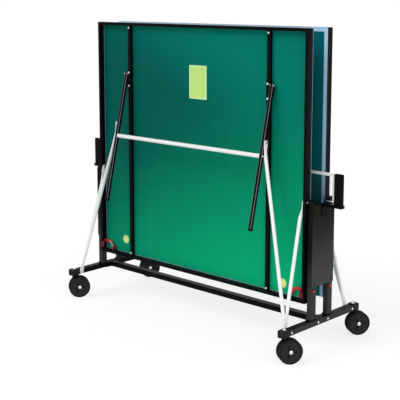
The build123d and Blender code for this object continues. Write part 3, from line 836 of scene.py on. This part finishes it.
# Bolts
# Domed zinc bolts hold the brackets, battens, rail and struts; those of the covers are painted.
# Cold formed heads, plated bright or coated black with the plate that they hold.
bolt_paint = (0.02, 0.02, 0.02, 1)
bolt_paint_gloss = 0.1


def part_painted(name):
    """Bright plate, with black paint on the heads that stand above the lower edge of the covers."""
    material, shader, place = new_finish(name, {"Specular IOR Level": bolt_paint_gloss})
    painted = place.axes()[2] > cover_low.z
    cloud = place.noise(plate_scale, soft_detail)
    plate = cloud.mix(bright_plate, dull_plate)
    painted.mix(plate, bolt_paint).into(shader, "Base Color")
    (1 - painted).into(shader, "Metallic")
    (plate_rough + plate_cloud_rough * cloud).into(shader, "Roughness")
    return material


dress(part_painted("part_painted"), "chassis_bolts")
for half in ("front", "rear"):
    dress(zinc, f"{half}_top_bolts", f"{half}_leg_bolts")

# Release levers
# Bent bars of red plastic in the lower corners, each turning on a collar beside the side apron.
# A thumb tab hooks over the apron, and two of the bars end in a hairpin spring of steel wire.
lever_axis = Vector(joint_named("front_right_lever_turn")["pos_m"])
lever_end_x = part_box("front_right_latch")[1].x
bar_half_width = 0.007
bar_half_depth = 0.003
bar_front_y = lever_axis.y - bar_half_depth
bend_reach = 0.050
tip_reach = 0.085
tip_drop = 0.038
bend = Vector((lever_axis.x - bend_reach, lever_axis.z))
tip = Vector((lever_axis.x - tip_reach, lever_axis.z - tip_drop))
along = (tip - bend).normalized()
out = Vector((along.y, -along.x))
deep_red = (0.16, 0.006, 0.010, 1)
deep_red_scuff = (0.26, 0.04, 0.05, 1)
# Painted shade: the red lower arm behind the spring is painted black.
arm_painted_shade = (0.012, 0.010, 0.010, 1)
lever_rough = 0.34
lever_grain_rough = 0.1
dark_red = moulded_plastic("dark_red", deep_red, deep_red_scuff, rough=0.35, gloss=0.15)


def sprung_plastic(name):
    """The red of the levers on the bar, and black painted shade on the lower arm that the spring covers.
    """
    material, shader, place = new_finish(name, {"Specular IOR Level": red_gloss})
    arm = place.axes()[2] < lever_axis.z - bar_half_width
    grain = place.noise(grain_scale, fine_detail)
    arm.mix(red, arm_painted_shade).into(shader, "Base Color")
    (lever_rough + lever_grain_rough * grain).into(shader, "Roughness")
    grain.bump(shader, grain_height)
    return material


half_red = sprung_plastic("half_red")
grip_size = (0.019, 0.013, 0.022)
grip_setback = 0.004
grip_margin = 0.003
grip_pad = 0.0014
grip_edge = 0.0015
grip_middle = tip - along * grip_setback
grip = begin(
    bpy.ops.mesh.primitive_cube_add,
    size=1,
    location=(grip_middle.x, lever_axis.y, grip_middle.y),
    rotation=(0, math.atan2(along.x, along.y), 0),
)
grip.scale = grip_size
bpy.ops.object.transform_apply(location=True, rotation=True, scale=True)
bpy.ops.object.mode_set(mode="EDIT")
choose(grip, "FACE", lambda face: abs(face.normal.y) > square_on)
bpy.ops.mesh.inset(thickness=grip_margin)
bpy.ops.mesh.extrude_region_shrink_fatten(TRANSFORM_OT_shrink_fatten={"value": grip_pad})
bpy.ops.object.mode_set(mode="OBJECT")
bevelled(grip, grip_edge, segments=3)
tab_inside = 0.0115
tab_step = 0.0015
tab_overhang = 0.011
tab_height = 0.028
tab_drop = 0.010
tab_gap = 0.0015
tab_thickness = 0.003
tab_lap = 0.001
tab_edge = 0.001
tab_inner_x = lever_end_x - tab_inside
tab_split_x = lever_end_x - tab_step
tab_outer_x = lever_end_x + tab_overhang
tab_top_z = lever_axis.z - tab_drop
tab_back_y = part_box("front_apron")[0].y - tab_gap
tab_reach = bar_front_y + tab_lap - tab_back_y
tab = begin(
    bpy.ops.mesh.primitive_cube_add,
    size=1,
    location=(
        (tab_inner_x + tab_outer_x) / 2,
        tab_back_y - tab_thickness / 2,
        tab_top_z - tab_height / 2,
    ),
)
tab.scale = (tab_outer_x - tab_inner_x, tab_thickness, tab_height)
bpy.ops.object.transform_apply(location=True, rotation=True, scale=True)
bpy.ops.object.mode_set(mode="EDIT")
bpy.ops.mesh.select_all(action="SELECT")
bpy.ops.mesh.bisect(plane_co=(tab_split_x, 0, 0), plane_no=(1, 0, 0))
choose(tab, "FACE", lambda face: face.normal.z > square_on and face.calc_center_median().x < tab_split_x)
bpy.ops.mesh.extrude_region_move(TRANSFORM_OT_translate={"value": (0, 0, tab_drop)})
choose(tab, "FACE", lambda face: face.normal.y > square_on and face.calc_center_median().z > tab_top_z)
bpy.ops.mesh.extrude_region_move(TRANSFORM_OT_translate={"value": (0, tab_reach, 0)})
bpy.ops.object.mode_set(mode="OBJECT")
bevelled(tab, tab_edge, segments=2)
wire_radius = 0.0015
wire_offset = 0.0056
wire_reach = [(0.040, 1), (0.016, 1), (-0.010, 0), (0.016, -1), (0.040, -1)]
spring = begin(bpy.ops.curve.primitive_nurbs_path_add)
for point, (reach, side) in zip(spring.data.splines[0].points, wire_reach):
    place = bend + along * reach + out * side * wire_offset
    point.co = (place.x, bar_front_y - wire_radius, place.y, 1)
spring.data.splines[0].order_u = 3
spring.data.splines[0].use_endpoint_u = True
spring.data.bevel_depth = wire_radius
spring.data.bevel_resolution = 2
spring.data.use_fill_caps = True
bpy.ops.object.convert(target="MESH")


def mirrored(pattern, way, side):
    """A copy of a piece of the front right lever, mirrored to another corner of the halves."""
    made = copy_of(pattern, Matrix.Diagonal((way, -side, 1, 1)))
    alone(made)
    bpy.ops.object.transform_apply(location=True, rotation=True, scale=True)
    bpy.ops.object.mode_set(mode="EDIT")
    bpy.ops.mesh.select_all(action="SELECT")
    bpy.ops.mesh.remove_doubles(threshold=merge_reach)
    bpy.ops.mesh.normals_make_consistent(inside=False)
    bpy.ops.object.mode_set(mode="OBJECT")
    return made


for half, side in (("front", -1), ("rear", 1)):
    for hand, way in (("left", -1), ("right", 1)):
        corner = f"{half}_{hand}"
        body = f"{corner}_lever"
        sprung = way == side
        dress(half_red if sprung else red_plastic, f"{corner}_latch")
        pad = mirrored(grip, way, side)
        settle(pad, f"{corner}_lever_grip", dark_red if sprung else red_plastic, body)
        thumb = mirrored(tab, way, side)
        settle(thumb, f"{corner}_thumb_tab", dark_red, body)
        if sprung:
            hairpin = mirrored(spring, way, side)
            settle(hairpin, f"{corner}_lever_spring", zinc, body)
for pattern in (grip, tab, spring):
    bpy.data.objects.remove(pattern)

# Net arms, posts and tension rods
# Steel arms on the covers carry flat black uprights, and bright rods pull the net's ends tight.
# The arms are powder coated, the uprights moulded and the rods chromed.
bright_chrome = (0.90, 0.91, 0.92, 1)
dull_chrome = (0.84, 0.85, 0.87, 1)
chrome = plated_steel("chrome", bright_chrome, dull_chrome, rough=0.05)
dress(black_powder, "net_arms")
dress(black_plastic, "net_posts")
dress(chrome, "tension_rods")

# Net
# Knotted dark cord with small square gaps, stretched between the uprights.
# Cut to length from a roll of netting and drawn tight by the tension rods.
net_low, net_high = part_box("net")
net_columns = 138
net_rows = 11
net_cord = 0.0015
yarn_dark = (0.012, 0.018, 0.026, 1)
yarn_pale = (0.030, 0.040, 0.052, 1)
yarn_gloss = 0.1
yarn_sheen = 0.05
yarn_rough = 0.7
twist_turns = 2600.0
twist_share = 0.25
fuzz_scale = 1500.0
fuzz_share = 0.5
fuzz_rough = 0.15
yarn_height = 0.0001


def cord_yarn(name):
    """Twisted dark yarn, a little greyer on its crowns."""
    surface = {"Specular IOR Level": yarn_gloss, "Sheen Weight": yarn_sheen}
    material, shader, place = new_finish(name, surface)
    x, y, z = place.axes()
    slope = x + z + y
    twist = slope.wave(twist_turns)
    fuzz = place.noise(fuzz_scale, fine_detail)
    soft = twist_share * twist + fuzz_share * fuzz + twist_share
    soft.mix(yarn_dark, yarn_pale).into(shader, "Base Color")
    (yarn_rough + fuzz_rough * fuzz).into(shader, "Roughness")
    soft.bump(shader, yarn_height)
    return material


net_yarn = cord_yarn("net_yarn")
net = begin(
    bpy.ops.mesh.primitive_grid_add,
    x_subdivisions=net_columns,
    y_subdivisions=net_rows,
    size=1,
    location=(net_low + net_high) / 2,
    rotation=(quarter_turn, 0, 0),
)
net.scale = (net_high.x - net_low.x - net_cord, net_high.z - net_low.z - net_cord, 1)
bpy.ops.object.transform_apply(location=True, rotation=True, scale=True)
strands = net.modifiers.new("strands", "WIREFRAME")
strands.thickness = net_cord
strands.use_even_offset = False
strands.use_boundary = True
settle(net, "net_mesh", net_yarn, "chassis")
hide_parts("net")

# Net tape
# A white woven band folded over the net's top cord and sewn through near its lower edge.
# Woven polyester, with a row of stitches on each side.
tape_low, tape_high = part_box("net_tape")
tape_skin = 0.0008
stitch_inset = 0.003
stitch_z = tape_low.z + stitch_inset
stitch_half = 0.0004
stitch_turns = 1500.0
stitch_share = -0.4
stitch_grey = (0.55, 0.56, 0.58, 1)
cloth_dark = (0.74, 0.75, 0.76, 1)
cloth_pale = (0.86, 0.86, 0.86, 1)
tape_gloss = 0.3
tape_sheen = 0.15
tape_rough = 0.66
tape_cloud_scale = 14.0
stitch_swell = 2
weave_turns = 4200.0
weave_share = 0.5
weave_rough = 0.16
weave_height = 0.00015


def woven_tape(name):
    """White tape: a fine plain weave with a slow dust cloud."""
    surface = {"Specular IOR Level": tape_gloss, "Sheen Weight": tape_sheen}
    material, shader, place = new_finish(name, surface)
    x, y, z = place.axes()
    weave = (x.wave(weave_turns) * z.wave(weave_turns)).lifted()
    cloud = place.noise(tape_cloud_scale, soft_detail)
    dash = x.wave(stitch_turns) > stitch_share
    stitch = (abs(z - stitch_z) < stitch_half) * dash
    cloth = (weave_share * weave + (1 - weave_share) * cloud).mix(cloth_dark, cloth_pale)
    stitch.mix(cloth, stitch_grey).into(shader, "Base Color")
    (tape_rough + weave_rough * weave).into(shader, "Roughness")
    (weave + stitch_swell * stitch).bump(shader, weave_height)
    return material


tape_weave = woven_tape("tape_weave")
tape_middle = (tape_low + tape_high) / 2
tape_size = tape_high - tape_low
tape = begin(
    bpy.ops.mesh.primitive_plane_add,
    size=1,
    location=(tape_middle.x, tape_middle.y, tape_high.z - tape_skin / 2),
)
tape.scale = (tape_size.x, tape_size.y - tape_skin, 1)
bpy.ops.object.transform_apply(location=True, rotation=True, scale=True)
bpy.ops.object.mode_set(mode="EDIT")
choose(tape, "EDGE", lambda edge: abs(edge.verts[0].co.y - edge.verts[1].co.y) < tape_skin)
bpy.ops.mesh.extrude_edges_move(TRANSFORM_OT_translate={"value": (0, 0, -tape_size.z + tape_skin / 2)})
choose(
    tape,
    "EDGE",
    lambda edge: all(corner.co.z > tape_middle.z for corner in edge.verts)
    and abs(edge.verts[0].co.y - edge.verts[1].co.y) < tape_skin,
)
bpy.ops.mesh.bevel(offset=tape_skin * 2, segments=4)
bpy.ops.object.mode_set(mode="OBJECT")
cloth = tape.modifiers.new("cloth", "SOLIDIFY")
cloth.thickness = tape_skin
cloth.offset = 0
settle(tape, "net_band", tape_weave, "chassis")
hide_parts("net_tape")

# Net hems
# A narrow white band sewn over each end of the netting, beside the upright.
# The same woven tape, folded over the cord and flattened.
hem_width = 0.012
hem_thickness = 0.0024
hem_margin = 0.0022
hem_dip = 0.0004
hem_edge = 0.0006
for hand, way in (("left", -1), ("right", 1)):
    hem = begin(
        bpy.ops.mesh.primitive_cube_add,
        size=1,
        location=(way * (net_high.x - hem_width / 2), 0, (net_low.z + tape_low.z) / 2),
    )
    hem.scale = (hem_width, hem_thickness, tape_low.z - net_low.z)
    bpy.ops.object.transform_apply(location=True, rotation=True, scale=True)
    bpy.ops.object.mode_set(mode="EDIT")
    choose(hem, "FACE", lambda face: abs(face.normal.y) > square_on)
    bpy.ops.mesh.inset(thickness=hem_margin)
    bpy.ops.mesh.extrude_region_shrink_fatten(TRANSFORM_OT_shrink_fatten={"value": -hem_dip})
    bpy.ops.object.mode_set(mode="OBJECT")
    bevelled(hem, hem_edge, segments=2)
    settle(hem, f"{hand}_net_hem", tape_weave, "chassis")

# Floor, light and camera
# A plain pale floor under soft studio light, seen from the right front of the folded table.
# The backdrop is white to the eye and to polished metal.
floor_size = 60.0
floor_white = (0.80, 0.80, 0.80, 1)
floor_shade = (0.30, 0.30, 0.30, 1)
floor_glow = 0.74
plain_white = (1, 1, 1, 1)


def backdrop_rays(tree):
    """1 for the rays that show the backdrop: those to the eye, and in polished or clear pieces."""
    rays = tree.nodes.new("ShaderNodeLightPath")
    seen = Shade(tree, rays.outputs["Is Camera Ray"])
    for ray in ("Is Glossy Ray", "Is Transmission Ray"):
        seen = seen.either(Shade(tree, rays.outputs[ray]))
    return seen


floor = begin(bpy.ops.mesh.primitive_plane_add, size=floor_size)
floor.name = "floor"
floor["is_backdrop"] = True
floor_paint = bpy.data.materials.new("floor_paint")
floor_paint.use_nodes = True
tree = floor_paint.node_tree
tree.nodes.clear()
seen = backdrop_rays(tree)
matt = seen.node("ShaderNodeBsdfDiffuse", {}, {"Color": floor_white})
shade = seen.node("ShaderNodeBsdfDiffuse", {}, {"Color": floor_shade})
glow = seen.node("ShaderNodeEmission", {}, {"Color": plain_white, "Strength": floor_glow})
shown = seen.node("ShaderNodeAddShader", {}, {0: shade, 1: glow})
both = seen.node("ShaderNodeMixShader", {}, {0: seen, 1: matt, 2: shown})
output = tree.nodes.new("ShaderNodeOutputMaterial")
tree.links.new(both.socket, output.inputs["Surface"])
floor.data.materials.append(floor_paint)

air_light = 0.30
side_light = 0.22
top_light = 0.16
window_east = -0.6
window_north = -0.5
window_ends = (-0.8, 0.8)
top_ends = (-0.2, 0.9)
world = bpy.data.worlds.new("studio")
bpy.context.scene.world = world
world.use_nodes = True
tree = world.node_tree
tree.nodes.clear()
seen = backdrop_rays(tree)
east, north, up = Shade(tree, tree.nodes.new("ShaderNodeTexCoord").outputs["Generated"]).axes()
window = (window_east * east + window_north * north).fade(*window_ends)
studio = air_light + side_light * window + top_light * up.fade(*top_ends)
level = seen.either(studio)
air = level.node("ShaderNodeBackground", {}, {"Color": plain_white, "Strength": level})
output = tree.nodes.new("ShaderNodeOutputWorld")
tree.links.new(air.socket, output.inputs["Surface"])


def sun(name, toward, strength, spread):
    """A broad soft lamp that shines from a direction."""
    lamp = bpy.data.lights.new(name, "SUN")
    lamp.energy = strength
    lamp.angle = math.radians(spread)
    holder = bpy.data.objects.new(name, lamp)
    holder.rotation_mode = "QUATERNION"
    holder.rotation_quaternion = Vector(toward).to_track_quat("Z", "Y")
    bpy.context.scene.collection.objects.link(holder)


key_from = (-0.35, -0.65, 0.75)
fill_from = (0.90, -0.20, 0.40)
sun("key", key_from, strength=1.05, spread=35)
sun("fill", fill_from, strength=1.3, spread=60)


def spot(name, stand, aim, power, cone, radius):
    """A broad lamp whose soft round pool of light falls on one place."""
    lamp = bpy.data.lights.new(name, "SPOT")
    lamp.energy = power
    lamp.spot_size = math.radians(cone)
    lamp.spot_blend = 1.0
    lamp.shadow_soft_size = radius
    holder = bpy.data.objects.new(name, lamp)
    holder.location = stand
    holder.rotation_mode = "QUATERNION"
    holder.rotation_quaternion = (Vector(stand) - Vector(aim)).to_track_quat("Z", "Y")
    holder.visible_camera = False
    bpy.context.scene.collection.objects.link(holder)


pool_stand = (0.8, -4.4, 0.9)
pool_aim = (0.75, -0.07, 0.35)
spot("pool", pool_stand, pool_aim, power=60, cone=31, radius=0.5)

eye = (3.654, -3.947, 1.792)
eye_turn = math.radians(43.116)
eye_dip = math.radians(8.759)
eye_lens = 89.4
frame_drop = -0.1375
camera_data = bpy.data.cameras.new("camera")
camera_data.lens = eye_lens
camera_data.shift_y = frame_drop
camera = bpy.data.objects.new("camera", camera_data)
camera.location = eye
camera.rotation_euler = (quarter_turn - eye_dip, 0, eye_turn)
bpy.context.scene.collection.objects.link(camera)
bpy.context.scene.camera = camera
bpy.context.scene.view_settings.view_transform = "Standard"

low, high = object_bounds()
